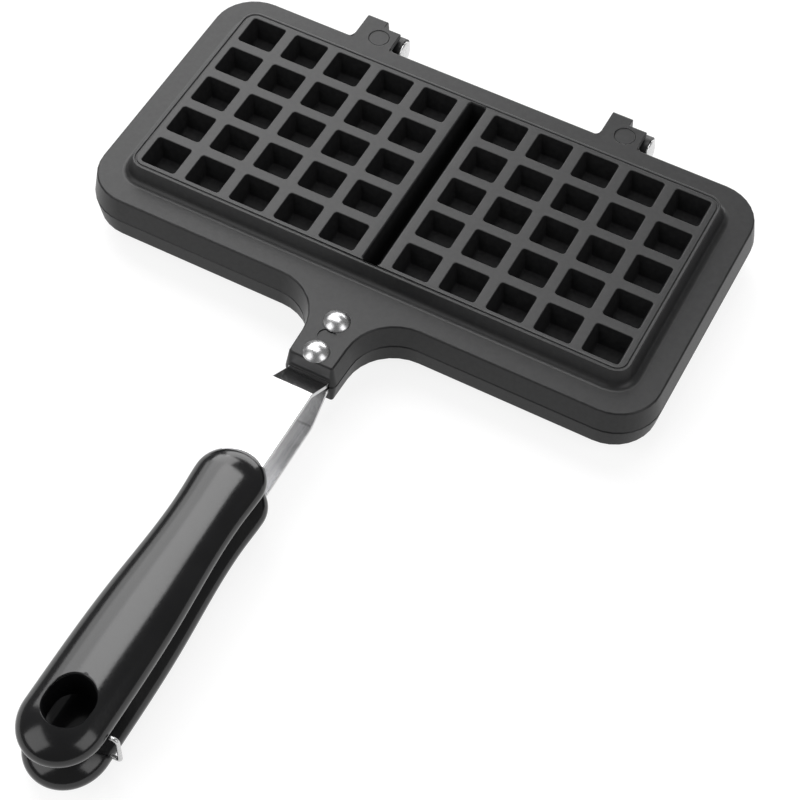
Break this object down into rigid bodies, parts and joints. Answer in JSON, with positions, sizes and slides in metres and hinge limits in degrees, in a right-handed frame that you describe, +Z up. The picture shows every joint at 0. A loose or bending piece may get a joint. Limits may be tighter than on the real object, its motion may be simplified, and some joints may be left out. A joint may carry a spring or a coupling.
{
  "type": "stovetop waffle maker",
  "caption": "Hinged pair of grid-pattern cooking plates with a ridge between two waffles, on riveted steel straps with oval grips, a hanging hole and a swing-wire latch.",
  "frame": {"origin": "on the surface the pan stands on, under the middle of its overall length and width", "axes": "+Z up, +Y from the grips towards the hinge, +X to the right seen from the grips"},
  "size_m": [0.2406, 0.3494, 0.0338],
  "materials": {
    "coated_plate": "black non-stick coating, satin",
    "strap_steel": "polished",
    "rivet_metal": "tumbled bright",
    "pin_steel": "satin",
    "grip_plastic": "gloss heat-proof moulding",
    "wire_steel": "drawn wire",
    "screw_steel": "zinc plated"
  },
  "bodies": {
    "lower_half": {"lower_plate": "coated_plate", "lower_strap": "strap_steel", "lower_grip": "grip_plastic", "lower_rivet_front": "rivet_metal", "lower_rivet_back": "rivet_metal", "lower_grip_screw": "screw_steel", "left_hinge_pin": "pin_steel", "right_hinge_pin": "pin_steel"},
    "upper_half": {"upper_plate": "coated_plate", "upper_strap": "strap_steel", "upper_grip": "grip_plastic", "upper_rivet_front": "rivet_metal", "upper_rivet_back": "rivet_metal", "upper_grip_screw": "screw_steel"},
    "latch": {"latch_wire": "wire_steel"}
  },
  "joints": [
    {"name": "hinge", "type": "hinge", "parent": "lower_half", "child": "upper_half", "pos_m": [0, 0.1682, 0.0169], "axis": [-1, 0, 0], "range_deg": [0, 120]},
    {"name": "latch_swing", "type": "hinge", "parent": "lower_half", "child": "latch", "pos_m": [0, -0.1555, 0.0097], "axis": [1, 0, 0], "range_deg": [0, 180]}
  ]
}
